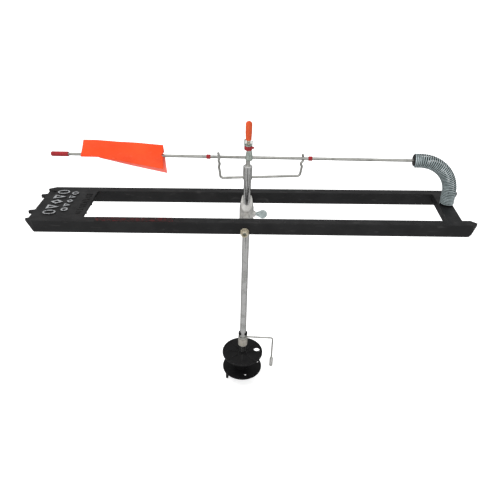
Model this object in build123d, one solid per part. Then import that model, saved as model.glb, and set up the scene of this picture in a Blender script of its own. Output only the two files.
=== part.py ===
from build123d import *
import os
from math import cos, radians, sin

# Ice fishing tip-up. X runs along the frame towards the flag spring, Y across it,
# Z up. The origin is the middle of the frame's underside, which rests on the ice.
# All sizes are millimetres.

# ---- frame ----
FRAME_LENGTH = 444.6
FRAME_WIDTH = 76.2
RAIL_WIDTH = 10.0
RAIL_HEIGHT = 12.7
RAIL_POINT_LEFT = 8.8
RAIL_POINT_RIGHT = 5.3
RAIL_UNDERCUT = 7.5
RAIL_TIP_DROP = 3.0
EDGE_ROUND = 0.8
PLATE_OUTER_X = -220.2
PLATE_INNER_X = -166.0
PLATE_THICKNESS = 3.2
PLATE_LEDGE = 9.2
PLATE_LEDGE_DROP = 1.2
PLATE_RIB = 1.8
PLATE_RIB_DEPTH = 4.0
END_WALL = 3.0
TONGUE_LENGTH = 5.6
TONGUE_WIDTH = 3.4
TONGUE_THICKNESS = 3.2
TONGUE_TAPER = 0.4
TONGUE_FLARE = 1.0
TONGUE_PLACES = (-14.8, 20.8)
CROSSBAR_INNER_X = 195.0
CROSSBAR_OUTER_X = 209.0
CROSSBAR_THICKNESS = 7.8
MARK_HEIGHT = 0.9
EDGE_MARK_X = -172.6
EDGE_MARK_COUNT = 12
EDGE_MARK_PITCH = 3.8
EDGE_MARK_LONG = 6.4
EDGE_MARK_SHORT = 4.0
EDGE_MARK_WIDTH = 1.8
EDGE_MARK_HEIGHT = 0.6
RULER_ZERO_X = -67.0
RULER_INCHES = 10
TICK_WIDTH = 0.5
TICK_HEIGHT = 0.25
INCH_TICK = 5.0
HALF_INCH_TICK = 3.2
TICK_INSET = 0.2
STRIP_LENGTH = 84.0
STRIP_GAP = 6.0
STRIP_WIDTH = 8.2
STRIP_THICKNESS = 0.3
RELIEF_ORDER = (0, 1, 2, 1, 0)
RELIEF_OPENING = 0.48
RELIEF_RING_WALL = 1.55
RELIEF_PEAK_SHIFT = 0.16
RELIEF_ROWS = (
    (-201.8, 6.6, 4.4, -21.2, 11.3),
    (-188.3, 3.6, 3.4, -15.0, 9.1),
)
INCH = 25.4

# ---- pivot block and its hardware ----
PIVOT_X = -2.5
PIVOT_Z = 3.0
COLUMN_LEAN = 2.2
BLOCK_RADIUS = 7.4
BLOCK_BOTTOM = -3.0
BLOCK_SHOULDER = 10.0
BLOCK_TOP = 22.5
BLOCK_TOP_RADIUS = 5.0
BLOCK_SLOPE = ((-7.4, 8.5), (2.0, 22.5))
TRUNNION_RADIUS = 4.4
TRUNNION_REACH = 19.0
STUD_HOLE_DEPTH = 12.0
STUD_DEPTH = 11.5
BOSS_ROOT_RADIUS = 4.2
BOSS_TIP_RADIUS = 2.6
BOSS_SINK = 1.5
BOSS_REACH = 2.2
SPACER_RADIUS = 4.4
STUD_RADIUS = 2.1
STUD_REACH = 2.6
NUT_FLATS = 7.4
WASHER_RADIUS = 4.2
WASHER_THICKNESS = 0.8
NUT_HEX = 3.2
NUT_HEIGHT = 5.2
NUT_FLARE = 0.6
NUT_CHAMFER = 0.9
NUT_COLLAR_INSET = 0.3
SCREW_Z = 2.6
SCREW_RADIUS = 1.7
SCREW_HEAD_RADIUS = 4.5
SCREW_HEAD_X = 17.0
SCREW_STEM_END = 11.8
SCREW_WING_HALF = 1.1
SCREW_NECK = ((10.3, 1.6), (14.0, 3.2))
SCREW_EYE_X = 12.3
SCREW_EYE_RADIUS = 0.8
SCREW_DISH_RADIUS = 3.1
SCREW_DISH_DEPTH = 0.3

# ---- support tube and what is fixed to it ----
TUBE_RADIUS = 3.75
TUBE_BORE = 2.75
TUBE_TOP = 41.9
TUBE_BOTTOM = -182.0
BUSHING_LENGTH = 9.0
RING_RADIUS = 5.45
RING_Z = -164.0
RING_HALF = 1.7
RING_ROUND = 0.8
RING_MOUTH = 6.8
SEAL_RADIUS = 5.7
SEAL_TOP = -170.6
SEAL_BOTTOM = -181.5
SEAL_ROUND = 1.2
GUIDE_WIRE = 0.95
GUIDE_Z = -169.3
GUIDE_REACH = 36.6
GUIDE_EYE_TOP = -200.0
GUIDE_EYE_BOTTOM = -216.0
GUIDE_EYE_HALF = 1.15
GUIDE_EYE_TAPER = 3.2
GUIDE_EYE_BENDS = [1.0, 1.5, 1.1, 1.1, 1.5]
GUIDE_ARM_BEND = 2.6

# ---- trip shaft with its bail and head ----
SHAFT_RADIUS = 2.1
SHAFT_TOP = 68.0
SHAFT_BOTTOM = -230.0
HUB_RADIUS = 4.6
HUB_BOTTOM = 42.1
HUB_TOP = 56.8
HUB_TOP_CHAMFER = 0.9
HUB_BOTTOM_CHAMFER = 0.3
BAIL_WIRE = 1.2
BAIL_Z = 44.0
BAIL_TURN = 11.0
BAIL_TILT = 0.9
BAIL_RUNS = (
    (-29.8, 26.6),
    (-28.6, 22.0),
    (-29.3, 18.4),
    (-28.2, 15.2),
    (-28.9, 11.6),
    (-28.0, 7.6),
    (-27.1, 0),
    (53.6, 0),
    (54.9, 10.6),
    (53.3, 13.4),
    (55.4, 16.6),
    (55.4, 19.8),
    (54.4, 23.4),
)
BAIL_BENDS = [1.7, 1.7, 1.7, 1.7, 1.7, 3.0, 3.0, 1.3, 1.3, 1.3, 1.3]
HEAD_BOTTOM = 62.4
HEAD_TOP = 73.0
HEAD_OUTLINE = ((3.0, 0), (3.75, 1.2), (3.75, 3.0), (3.2, 6.2), (2.5, 10.6))
HEAD_PIN_RADIUS = 1.7
HEAD_OFFSET = 0.9
BAND_RADIUS = 4.1
BAND_TOP = 77.4
BAND_ROUND = 1.2
NUB_RADIUS = 1.0
NUB_REACH = 1.7
CLIP_FOOT_RADIUS = 3.7
CLIP_FOOT = 1.0
CLIP_LUGS = ((-4.2, -2.8, 0.0), (2.8, 3.9, 1.2))
CLIP_LUG_HALF = 1.7
CLIP_POST = (2.1, 1.1)
GRIP_RADIUS = 3.2
GRIP_BOTTOM = 83.2
GRIP_TOP = 101.8
GRIP_TAPER = 0.4
GRIP_STRAIGHT = 8.0
TANG_HALF = 1.1
TANG_LENGTH = 10.0
RIVET_Z = 81.1
EYELET_RADIUS = 1.35
EYELET_FLANGE = 0.7
EYELET_WALL = 0.5
EYELET_HALF = 1.9
EYELET_SEAT = 1.1
DRIVE_HUB_TOP = -182.3
DRIVE_HUB_RADIUS = 4.0
DRIVE_HUB_NOSE = 1.6
DRIVE_HUB_BREAK = 0.4
SPOOL_WASHER_RADIUS = 5.5
SPOOL_NUT_HEX = 3.4
SPOOL_NUT_COLLAR = 1.6
SPOOL_NUT_INSET = 0.5

# ---- spool ----
SPOOL_TOP = -193.2
SPOOL_HEIGHT = 26.0
FLANGE_RADIUS = 24.3
TOP_FLANGE_RADIUS = 24.9
FLANGE_THICKNESS = 1.5
FLANGE_BREAK = 0.4
ARBOR_RADIUS = 9.0
PEG_PLACE = 20.0
PEG_ANGLE = 204.0
PEG_LENGTH = 14.0
PEG_RADIUS = 1.7
PEG_SPIGOT = 1.2
PEG_SPIGOT_RADIUS = 1.2
PEG_ROUND = 0.9
RIB_COUNT = 8
RIB_DEPTH = 0.5
RIB_WIDTH = 1.2
FLANGE_DISH = 0.6
RIM_WIDTH = 1.2
HUB_PAD_RADIUS = 5.4
FLANGE_HOLE = (3.7, 3.1)
FLANGE_HOLE_PLACE = (17.6, 4.6)
LINE_HOLE_RADIUS = 1.5
LINE_HOLES = ((19.1, 7.4), (4.9, -16.2))

# ---- flag spring, staff and flag ----
FLAG_Y = 6.4
SPRING_RADIUS = 7.0
SPRING_WIRE = 1.6
SPRING_BASE_X = 203.2
SPRING_STRAIGHT = 12.5
SPRING_BEND = 35.0
SPRING_END = 6.5
STAFF_RISE = 0.75
PLUG_LENGTH = 6.0
STAFF_RADIUS = 1.4
STAFF_LENGTH = 343.0
TIP_LENGTH = 17.5
TIP_RADIUS = 2.4
TIP_ROUND = 1.6
TIP_WALL = 3.5
STAFF_TIP_GAP = 0.5
STAFF_INSET = 1.5
COLLAR_RADIUS = 2.2
COLLAR_LENGTH = 4.0
COLLAR_ROUND = 0.5
COLLAR_PLACES = (101.0, 202.0)
ANCHOR_SCREW = 1.5
ANCHOR_HEAD = 3.1
ANCHOR_HOLE = 1.7
ANCHOR_SINK = 2.6
ANCHOR_HEIGHT = 9.0
ANCHOR_CHAMFER = 1.0
ANCHOR_CAP = 1.5
ANCHOR_CROSS = (2.4, 0.4, 1.0)
FLAG_THICKNESS = 5.0
FLAG_BORE = 1.7
FLAG_OUTLINE = (
    (246.0, -11.6),
    (325.4, -15.8),
    (330.5, 2.4),
    (313.0, 4.2),
    (245.0, 19.1),
)

RUNNING = 0.06
FIT = 0.02
GAP = 0.1

SPOOL_BOTTOM = SPOOL_TOP - SPOOL_HEIGHT
HALF_LENGTH = FRAME_LENGTH / 2
HALF_WIDTH = FRAME_WIDTH / 2
INNER_Y = HALF_WIDTH - RAIL_WIDTH
CROSSBAR_BOTTOM = RAIL_HEIGHT - CROSSBAR_THICKNESS
PLATE_BOTTOM = RAIL_HEIGHT - PLATE_THICKNESS
MIDDLE = Align.CENTER
UP = (MIDDLE, MIDDLE, Align.MIN)
PIVOT_AXIS = Axis((PIVOT_X, 0, PIVOT_Z), (0, 1, 0))
SPRING_CENTRE = (SPRING_BASE_X - SPRING_BEND, FLAG_Y, RAIL_HEIGHT + SPRING_STRAIGHT)
BEND_ANGLE = 90 - STAFF_RISE
RISE = radians(STAFF_RISE)
STAFF_X = SPRING_CENTRE[0] + SPRING_BEND * sin(RISE) - SPRING_END * cos(RISE)
STAFF_Z = SPRING_CENTRE[2] + SPRING_BEND * cos(RISE) + SPRING_END * sin(RISE)


def rod(radius, low, high, x=0.0, y=0.0):
    """A cylinder along Z between two heights."""
    return Pos(x, y, low) * Cylinder(radius, high - low, align=UP)


def rod_x(radius, low, high, y=0.0, z=0.0):
    """A cylinder along X between two stations."""
    return Pos(low, y, z) * Rot(0, 90, 0) * Cylinder(radius, high - low, align=UP)


def rod_y(radius, low, high, x=0.0, z=0.0):
    """A cylinder along Y between two stations."""
    return Pos(x, low, z) * Rot(-90, 0, 0) * Cylinder(radius, high - low, align=UP)


def block(low, high):
    """A box between two corners."""
    size = [b - a for a, b in zip(low, high)]
    centre = [(a + b) / 2 for a, b in zip(low, high)]
    return Pos(*centre) * Box(*size)


def turned(points):
    """A body turned about Z from its half outline in radius and height."""
    outline = make_face(Polyline(*[(r, 0, z) for r, z in points], close=True))
    return revolve(outline, axis=Axis.Z)


def wire(points, bends, radius):
    """A round wire along straight runs joined by bends."""
    path = FilletPolyline(*points, radius=bends)
    return sweep(path.location_at(0) * Circle(radius), path=path)


def on_column(shape):
    """Set a piece of the column, drawn about Z, in its place in the pivot."""
    return (Pos(PIVOT_X, 0, 0) * shape).rotate(PIVOT_AXIS, COLUMN_LEAN)


def on_staff(shape):
    """Set a piece drawn along +X from the spring's free end in its place."""
    return Pos(STAFF_X, FLAG_Y, STAFF_Z) * Rot(0, 180 + STAFF_RISE, 0) * shape


def save(name, shape):
    export_step(shape, f"parts/{name}.step")


# ---------------------------------------------------------------- frame pieces


def rail(side):
    """One side rail: pointed in plan at both ends and cut back underneath."""
    outer = side * HALF_WIDTH
    inner = side * INNER_Y
    middle = (outer + inner) / 2
    plan = Polyline(
        (-HALF_LENGTH, middle),
        (-HALF_LENGTH + RAIL_POINT_LEFT, outer),
        (HALF_LENGTH - RAIL_POINT_RIGHT, outer),
        (HALF_LENGTH, middle),
        (HALF_LENGTH - RAIL_POINT_RIGHT, inner),
        (-HALF_LENGTH + RAIL_POINT_LEFT, inner),
        close=True,
    )
    bar = extrude(make_face(plan), amount=RAIL_HEIGHT, dir=(0, 0, 1))
    for end in (-1, 1):
        tip = end * HALF_LENGTH
        wedge = Polyline(
            (tip - end * RAIL_UNDERCUT, 0, -0.01),
            (tip + end, 0, -0.01),
            (tip + end, 0, RAIL_HEIGHT - RAIL_TIP_DROP + 1),
            (tip, 0, RAIL_HEIGHT - RAIL_TIP_DROP),
            close=True,
        )
        bar -= extrude(make_face(wedge), amount=FRAME_WIDTH, dir=(0, 1, 0), both=True)
    return bar


def tongue(middle):
    """A blunt cleat on the end plate's outer edge."""
    root = PLATE_OUTER_X + 1
    tip = PLATE_OUTER_X - TONGUE_LENGTH
    half = TONGUE_WIDTH / 2
    plan = Polyline(
        (root, middle - half - TONGUE_FLARE),
        (tip, middle - half + TONGUE_TAPER),
        (tip, middle + half - TONGUE_TAPER),
        (root, middle + half + TONGUE_FLARE),
        close=True,
    )
    level = Pos(0, 0, RAIL_HEIGHT - PLATE_LEDGE_DROP - TONGUE_THICKNESS)
    return level * extrude(make_face(plan), amount=TONGUE_THICKNESS, dir=(0, 0, 1))


def end_plate():
    """The thin end plate: lowered outer ledge, end wall down to the ice, and ribs."""
    reach = INNER_Y + 1
    step_x = PLATE_OUTER_X + PLATE_LEDGE
    ledge_top = RAIL_HEIGHT - PLATE_LEDGE_DROP
    plate = block((step_x, -reach, PLATE_BOTTOM), (PLATE_INNER_X, reach, RAIL_HEIGHT))
    ledge_low = (PLATE_OUTER_X, -reach, PLATE_BOTTOM - PLATE_LEDGE_DROP)
    plate += block(ledge_low, (step_x, reach, ledge_top))
    plate += block((step_x - END_WALL, -reach, 0), (step_x, reach, ledge_top))
    for side in (-1, 1):
        middle = side * INNER_Y / 3
        low = (step_x - 1, middle - PLATE_RIB / 2, PLATE_BOTTOM - PLATE_RIB_DEPTH)
        high = (PLATE_INNER_X - 2, middle + PLATE_RIB / 2, PLATE_BOTTOM)
        plate += block(low, high)
    for place in TONGUE_PLACES:
        plate += tongue(place)
    return plate


def edge_marks():
    """The row of small raised bars along the plate's inner edge."""
    marks = []
    side = EDGE_MARK_WIDTH / 2
    for n in range(EDGE_MARK_COUNT):
        y = (n - (EDGE_MARK_COUNT - 1) / 2) * EDGE_MARK_PITCH
        half = (EDGE_MARK_LONG if n % 3 else EDGE_MARK_SHORT) / 2
        low = (EDGE_MARK_X - half, y - side, RAIL_HEIGHT - EDGE_MARK_HEIGHT)
        marks.append(block(low, (EDGE_MARK_X + half, y + side, RAIL_HEIGHT + EDGE_MARK_HEIGHT)))
    return marks


def make_frame():
    """The moulded ladder frame: rails, end plate with cleats, and crossbar."""
    body = rail(-1) + rail(1) + end_plate()
    reach = INNER_Y + 1
    bar_low = (CROSSBAR_INNER_X, -reach, CROSSBAR_BOTTOM)
    body += block(bar_low, (CROSSBAR_OUTER_X, reach, RAIL_HEIGHT))
    top = body.edges().filter_by(Axis.X).filter_by_position(
        Axis.Z, RAIL_HEIGHT - GAP, RAIL_HEIGHT + GAP
    )
    body = fillet([edge for edge in top if edge.length > FRAME_LENGTH / 2], EDGE_ROUND)
    for mark in edge_marks():
        body += mark
    body -= rod_y(STUD_RADIUS + RUNNING, -FRAME_WIDTH, FRAME_WIDTH, PIVOT_X, PIVOT_Z)
    body -= rod(ANCHOR_HOLE, -1, RAIL_HEIGHT + 1, SPRING_BASE_X, FLAG_Y)
    body -= rod(
        ANCHOR_HEAD + 0.3, -1, CROSSBAR_BOTTOM + ANCHOR_SINK, SPRING_BASE_X, FLAG_Y
    )
    return body


def make_rail_strip():
    """The coloured strip on the front rail's top, left of the ruler."""
    low = (RULER_ZERO_X - STRIP_LENGTH, -STRIP_WIDTH / 2, RAIL_HEIGHT)
    high = (RULER_ZERO_X - STRIP_GAP, STRIP_WIDTH / 2, RAIL_HEIGHT + STRIP_THICKNESS)
    return Pos(0, RAIL_WIDTH / 2 - HALF_WIDTH, 0) * block(low, high)


def make_ruler_marks():
    """Raised inch and half-inch marks along the front rail's top."""
    marks = []
    back = -INNER_Y - EDGE_ROUND - TICK_INSET
    for step in range(2 * RULER_INCHES + 1):
        length = HALF_INCH_TICK if step % 2 else INCH_TICK
        x = RULER_ZERO_X + step * INCH / 2
        low = (x - TICK_WIDTH / 2, back - length, RAIL_HEIGHT)
        marks.append(block(low, (x + TICK_WIDTH / 2, back, RAIL_HEIGHT + TICK_HEIGHT)))
    return Compound(children=marks)


def relief_mark(kind, half_x, half_y):
    """The plan of one raised outline: a ring, a peak or a diamond."""
    if kind == 0:
        inner = Ellipse(half_x - RELIEF_RING_WALL, half_y - RELIEF_RING_WALL)
        return Ellipse(half_x, half_y) - inner
    if kind == 1:
        corners = [(-half_x, -half_y), (-half_x, half_y), (half_x, 0)]
        inset = Pos(-half_x * RELIEF_PEAK_SHIFT, 0)
    else:
        corners = [(-half_x, 0), (0, half_y), (half_x, 0), (0, -half_y)]
        inset = Pos(0, 0)
    outer = make_face(Polyline(*corners, close=True))
    return outer - inset * outer.scale(RELIEF_OPENING)


def make_plate_relief():
    """Raised outlines on the end plate, in a large and a small row."""
    shapes = []
    for row_x, half_x, half_y, first_y, pitch in RELIEF_ROWS:
        for n, kind in enumerate(RELIEF_ORDER):
            place = Pos(row_x, first_y + n * pitch, RAIL_HEIGHT)
            plan = place * relief_mark(kind, half_x, half_y)
            shapes.append(extrude(plan, amount=MARK_HEIGHT, dir=(0, 0, 1)))
    return Compound(children=shapes)


def make_spring():
    """The flag spring's envelope: a hollow bent sleeve from the crossbar to the staff."""
    outer, inner = SPRING_RADIUS, SPRING_RADIUS - SPRING_WIRE
    straight = rod(outer, RAIL_HEIGHT, SPRING_CENTRE[2], SPRING_BASE_X, FLAG_Y)
    straight -= rod(inner, RAIL_HEIGHT - 1, SPRING_CENTRE[2] + 1, SPRING_BASE_X, FLAG_Y)
    section = Pos(SPRING_BASE_X, FLAG_Y, SPRING_CENTRE[2]) * (Circle(outer) - Circle(inner))
    bend_axis = Axis(SPRING_CENTRE, (0, -1, 0))
    bend = revolve(section, axis=bend_axis, revolution_arc=BEND_ANGLE)
    end = rod_x(outer, -SPRING_END, 0) - rod_x(inner, -SPRING_END - 1, 1)
    return straight + bend + on_staff(end)


def make_spring_anchor():
    """The round plug inside the spring's foot, bored for its screw."""
    radius = SPRING_RADIUS - SPRING_WIRE - GAP
    plug = rod(radius, RAIL_HEIGHT, RAIL_HEIGHT + ANCHOR_HEIGHT, SPRING_BASE_X, FLAG_Y)
    plug = chamfer(plug.edges().sort_by(Axis.Z)[-1], ANCHOR_CHAMFER)
    bore_top = RAIL_HEIGHT + ANCHOR_HEIGHT - ANCHOR_CAP
    return plug - rod(ANCHOR_SCREW + FIT, RAIL_HEIGHT - 1, bore_top, SPRING_BASE_X, FLAG_Y)


def make_anchor_screw():
    """The pan-head screw driven up through the crossbar into the anchor plug."""
    low = CROSSBAR_BOTTOM + 0.3
    seat = CROSSBAR_BOTTOM + ANCHOR_SINK
    tip = RAIL_HEIGHT + ANCHOR_HEIGHT - ANCHOR_CAP - GAP
    screw = rod(ANCHOR_SCREW, low, tip, SPRING_BASE_X, FLAG_Y)
    screw += rod(ANCHOR_HEAD, low, seat, SPRING_BASE_X, FLAG_Y)
    reach, half, depth = ANCHOR_CROSS
    slot = block((-reach, -half, -1), (reach, half, depth))
    return screw - Pos(SPRING_BASE_X, FLAG_Y, low) * (slot + Rot(0, 0, 90) * slot)


# ---------------------------------------------------------------- pivot pieces


def make_pivot_block():
    """The cast block that clamps the tube and turns on two side studs."""
    body = turned(
        [
            (0, BLOCK_BOTTOM),
            (BLOCK_RADIUS, BLOCK_BOTTOM),
            (BLOCK_RADIUS, BLOCK_SHOULDER),
            (BLOCK_TOP_RADIUS, BLOCK_TOP),
            (0, BLOCK_TOP),
        ]
    )
    (front_y, front_z), (back_y, back_z) = BLOCK_SLOPE
    wedge = Polyline(
        (0, front_y - 1, front_z), (0, front_y, front_z), (0, back_y, back_z),
        (0, back_y, back_z + 1), (0, front_y - 1, back_z + 1),
        close=True,
    )
    body -= extrude(make_face(wedge), amount=2 * BLOCK_RADIUS, dir=(1, 0, 0), both=True)
    body += rod_y(TRUNNION_RADIUS, -TRUNNION_REACH, TRUNNION_REACH, 0, PIVOT_Z)
    boss_tip = BLOCK_RADIUS + BOSS_REACH
    boss = Pos(BLOCK_RADIUS - BOSS_SINK, 0, SCREW_Z) * Rot(0, 90, 0)
    boss *= Cone(BOSS_ROOT_RADIUS, BOSS_TIP_RADIUS, BOSS_REACH + BOSS_SINK, align=UP)
    body += boss
    body -= rod(TUBE_RADIUS + RUNNING, BLOCK_BOTTOM - 1, BLOCK_TOP + 1)
    body -= rod_x(SCREW_RADIUS + RUNNING, 0, boss_tip + 1, 0, SCREW_Z)
    for side in (-1, 1):
        root = TRUNNION_REACH - STUD_HOLE_DEPTH
        near, far = sorted((side * root, side * (TRUNNION_REACH + 1)))
        body -= rod_y(STUD_RADIUS + FIT, near, far, 0, PIVOT_Z)
    return body


def make_pivot_studs():
    """The two threaded studs that carry the block in the rails."""
    reach = HALF_WIDTH + STUD_REACH
    studs = []
    for side in (-1, 1):
        near, far = sorted((side * (TRUNNION_REACH - STUD_DEPTH), side * reach))
        studs.append(rod_y(STUD_RADIUS, near, far, PIVOT_X, PIVOT_Z))
    return Compound(children=studs)


def make_pivot_spacers():
    """The two black spacers between the block's arms and the rails."""
    spacers = []
    for side in (-1, 1):
        near, far = sorted((side * (TRUNNION_REACH + GAP), side * INNER_Y))
        ring = rod_y(SPACER_RADIUS, near, far, PIVOT_X, PIVOT_Z)
        spacers.append(ring - rod_y(STUD_RADIUS + RUNNING, near - 1, far + 1, PIVOT_X, PIVOT_Z))
    return Compound(children=spacers)


def make_pivot_washers():
    """The flat washers under the two pivot nuts."""
    washers = []
    for side in (-1, 1):
        seat = HALF_WIDTH + GAP + WASHER_THICKNESS
        near, far = sorted((side * (HALF_WIDTH + GAP), side * seat))
        disc = rod_y(WASHER_RADIUS, near, far, PIVOT_X, PIVOT_Z)
        washers.append(disc - rod_y(STUD_RADIUS + FIT, near - 1, far + 1, PIVOT_X, PIVOT_Z))
    return Compound(children=washers)


def make_pivot_nuts():
    """The two lock nuts: a hexagon with a round collar over the stud's end."""
    nuts = []
    for side in (-1, 1):
        flat = RegularPolygon(NUT_FLATS / 2, 6, major_radius=False)
        body = extrude(flat, amount=NUT_HEX) & turned(
            [
                (0, 0),
                (NUT_FLATS / 2, 0),
                (NUT_FLATS / 2 + NUT_FLARE, NUT_CHAMFER),
                (NUT_FLATS / 2 + NUT_FLARE, NUT_HEX),
                (0, NUT_HEX),
            ]
        )
        body += rod(NUT_FLATS / 2 - NUT_COLLAR_INSET, NUT_HEX, NUT_HEIGHT)
        body = fillet(body.edges().sort_by(Axis.Z)[-1], NUT_FLARE)
        body -= rod(STUD_RADIUS + FIT, -1, NUT_HEIGHT + 1)
        seat_y = side * (HALF_WIDTH + GAP + WASHER_THICKNESS)
        seat = Pos(PIVOT_X, seat_y, PIVOT_Z) * Rot(-90 * side, 0, 0)
        nuts.append(seat * body)
    return Compound(children=nuts)


def make_thumb_screw():
    """The spade-headed clamp screw: threaded stem, forked neck and round wing."""
    start = TUBE_RADIUS + GAP
    half = SCREW_WING_HALF
    floor = half - SCREW_DISH_DEPTH
    (root_x, root_z), (neck_x, neck_z) = SCREW_NECK
    wing = rod_y(SCREW_HEAD_RADIUS, -half, half, SCREW_HEAD_X)
    neck = Polyline(
        (root_x, 0, -root_z), (neck_x, 0, -neck_z), (neck_x, 0, neck_z), (root_x, 0, root_z),
        close=True,
    )
    wing += extrude(make_face(neck), amount=half, dir=(0, 1, 0), both=True)
    wing -= rod_y(SCREW_EYE_RADIUS, -half - 1, half + 1, SCREW_EYE_X)
    wing -= rod_y(SCREW_DISH_RADIUS, -half - 1, -floor, SCREW_HEAD_X)
    wing -= rod_y(SCREW_DISH_RADIUS, floor, half + 1, SCREW_HEAD_X)
    return Pos(0, 0, SCREW_Z) * (rod_x(SCREW_RADIUS, start, SCREW_STEM_END) + wing)


# ---------------------------------------------------------------- tube pieces


def make_support_tube():
    return rod(TUBE_RADIUS, TUBE_BOTTOM, TUBE_TOP) - rod(TUBE_BORE, TUBE_BOTTOM - 1, TUBE_TOP + 1)


def make_bushing(low):
    """A plain bearing pressed into one end of the tube."""
    high = low + BUSHING_LENGTH
    return rod(TUBE_BORE - FIT, low, high) - rod(SHAFT_RADIUS + RUNNING, low - 1, high + 1)


def make_retaining_ring():
    """The black push-on clip above the line guide, open to the front."""
    low, high = RING_Z - RING_HALF, RING_Z + RING_HALF
    ring = fillet(rod(RING_RADIUS, low, high).edges(), RING_ROUND)
    half = RING_MOUTH / 2
    ring -= block((-half, -RING_RADIUS - 1, low - 1), (half, 0, high + 1))
    return ring - rod(TUBE_RADIUS + FIT, low - 1, high + 1)


def make_seal_sleeve():
    """The translucent grease seal around the tube's lower end."""
    sleeve = rod(SEAL_RADIUS, SEAL_BOTTOM, SEAL_TOP)
    sleeve = fillet(sleeve.edges(), SEAL_ROUND)
    return sleeve - rod(TUBE_RADIUS + FIT, SEAL_BOTTOM - 1, SEAL_TOP + 1)


def make_line_guide():
    """The wire guide: a turn round the tube, an arm, a drop and a long eye."""
    wrap = TUBE_RADIUS + GUIDE_WIRE + FIT
    turn = Pos(0, 0, GUIDE_Z) * Torus(wrap, GUIDE_WIRE)
    arm_end = GUIDE_REACH
    low = GUIDE_EYE_BOTTOM
    high = GUIDE_EYE_TOP
    half = GUIDE_EYE_HALF
    corner = [(wrap, 0, GUIDE_Z), (arm_end, 0, GUIDE_Z), (arm_end, 0, high)]
    arm = wire(corner, [GUIDE_ARM_BEND], GUIDE_WIRE)
    eye = Pos(arm_end, 0, 0) * wire(
        [
            (0, 0, high),
            (-half, 0, high - GUIDE_EYE_TAPER),
            (-half, 0, low),
            (half, 0, low),
            (half, 0, high - GUIDE_EYE_TAPER),
            (0, 0, high),
        ],
        GUIDE_EYE_BENDS,
        GUIDE_WIRE,
    )
    return turn + arm + eye + Pos(arm_end, 0, high) * Sphere(GUIDE_WIRE * 1.25)


# ---------------------------------------------------------------- trip pieces


def on_bail(shape):
    """Set a piece drawn about the bail's crosspiece at its turn and tilt."""
    return Rot(0, 0, BAIL_TURN) * Pos(0, 0, BAIL_Z) * Rot(0, BAIL_TILT, 0) * shape


def bail_bore():
    """The cross hole that takes the bail."""
    return on_bail(rod_x(BAIL_WIRE + FIT, -HUB_RADIUS - 1, HUB_RADIUS + 1))


def make_trip_shaft():
    """The steel shaft from the spool nut up to the trip head."""
    shaft = rod(SHAFT_RADIUS, SHAFT_BOTTOM, SHAFT_TOP)
    shaft = chamfer(shaft.edges().sort_by(Axis.Z)[0], 0.5)
    return shaft - bail_bore()


def make_trip_hub():
    """The turned hub on the shaft that holds the bail."""
    hub = rod(HUB_RADIUS, HUB_BOTTOM, HUB_TOP)
    hub = chamfer(hub.edges().sort_by(Axis.Z)[-1], HUB_TOP_CHAMFER)
    hub = chamfer(hub.edges().sort_by(Axis.Z)[0], HUB_BOTTOM_CHAMFER)
    return hub - rod(SHAFT_RADIUS + FIT, HUB_BOTTOM - 1, HUB_TOP + 1) - bail_bore()


def make_trigger_bail():
    """The trip wire: a crosspiece and two upright arms, both notched."""
    path = [(x, 0, z) for x, z in BAIL_RUNS]
    return on_bail(wire(path, BAIL_BENDS, BAIL_WIRE))


def make_trip_head():
    """The teardrop head, set off centre on the shaft, with a pin through the band."""
    side = [(radius, HEAD_BOTTOM + rise) for radius, rise in HEAD_OUTLINE]
    head = Pos(HEAD_OFFSET, 0, 0) * turned([(0, HEAD_BOTTOM)] + side + [(0, HEAD_TOP)])
    head += rod(HEAD_PIN_RADIUS, HEAD_TOP, BAND_TOP)
    return head - rod(SHAFT_RADIUS + FIT, HEAD_BOTTOM - 1, SHAFT_TOP + GAP)


def make_trip_band():
    """The red band with its pointing nub."""
    band = rod(BAND_RADIUS, HEAD_TOP + FIT, BAND_TOP - FIT)
    band = fillet(band.edges(), BAND_ROUND)
    middle = (HEAD_TOP + BAND_TOP) / 2
    band += rod_x(NUB_RADIUS, BAND_RADIUS / 2, BAND_RADIUS + NUB_REACH, 0, middle)
    return band - rod(HEAD_PIN_RADIUS + FIT, HEAD_TOP - 1, BAND_TOP + 1)


def make_grip_clip():
    """The grey clip under the grip: a foot, two lugs, a post and a tang."""
    clip = rod(CLIP_FOOT_RADIUS, BAND_TOP, BAND_TOP + CLIP_FOOT)
    root = BAND_TOP + CLIP_FOOT / 2
    for left, right, drop in CLIP_LUGS:
        low = (left, -CLIP_LUG_HALF, root)
        clip += block(low, (right, CLIP_LUG_HALF, GRIP_BOTTOM - drop))
    post_x, post_y = CLIP_POST
    clip += block((-post_x, -post_y, root), (post_x, post_y, GRIP_BOTTOM))
    half = TANG_HALF
    clip += block((-half, -half, GRIP_BOTTOM), (half, half, GRIP_BOTTOM + TANG_LENGTH))
    return clip - rod_y(EYELET_RADIUS, -post_y - 1, post_y + 1, 0, RIVET_Z)


def make_grip_rivet():
    """The brass eyelet through the clip's post."""
    eyelet = rod_y(EYELET_RADIUS - FIT, -EYELET_SEAT, EYELET_SEAT, 0, RIVET_Z)
    for side in (-1, 1):
        near, far = sorted((side * EYELET_SEAT, side * EYELET_HALF))
        eyelet += rod_y(EYELET_RADIUS + EYELET_FLANGE, near, far, 0, RIVET_Z)
    return eyelet - rod_y(EYELET_RADIUS - EYELET_WALL, -EYELET_HALF - 1, EYELET_HALF + 1, 0, RIVET_Z)


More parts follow.
